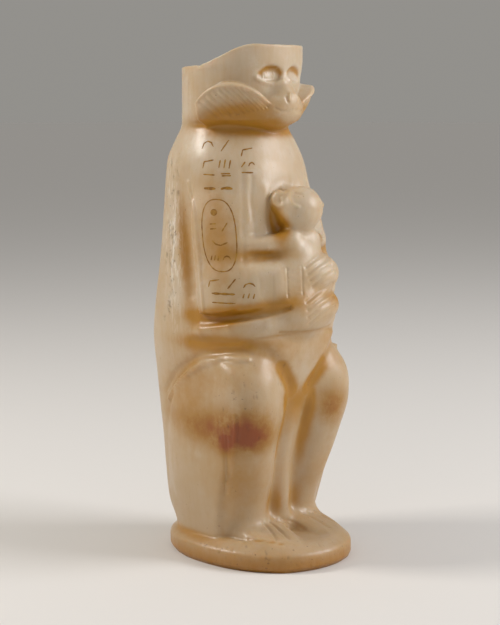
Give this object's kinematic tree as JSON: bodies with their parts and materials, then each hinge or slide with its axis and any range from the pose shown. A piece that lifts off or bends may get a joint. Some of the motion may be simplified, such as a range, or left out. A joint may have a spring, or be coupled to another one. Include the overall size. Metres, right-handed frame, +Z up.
{
  "type": "monkey-shaped stone vase",
  "caption": "Small stone vase carved as a seated monkey holding her young, on a low oval base, with an open mouth at the top of her head and a deep round bore.",
  "frame": {"origin": "middle of the base's flat underside", "axes": "+Z up along the body, -Y the way the monkey faces, +X towards her left side"},
  "size_m": [0.0584, 0.0776, 0.185],
  "materials": {
    "alabaster": "cream alabaster with a soft worn polish, amber in the carved recesses and reddish-brown stains at the knees"
  },
  "bodies": {
    "root": {"monkey_vase": "alabaster"}
  },
  "joints": []
}
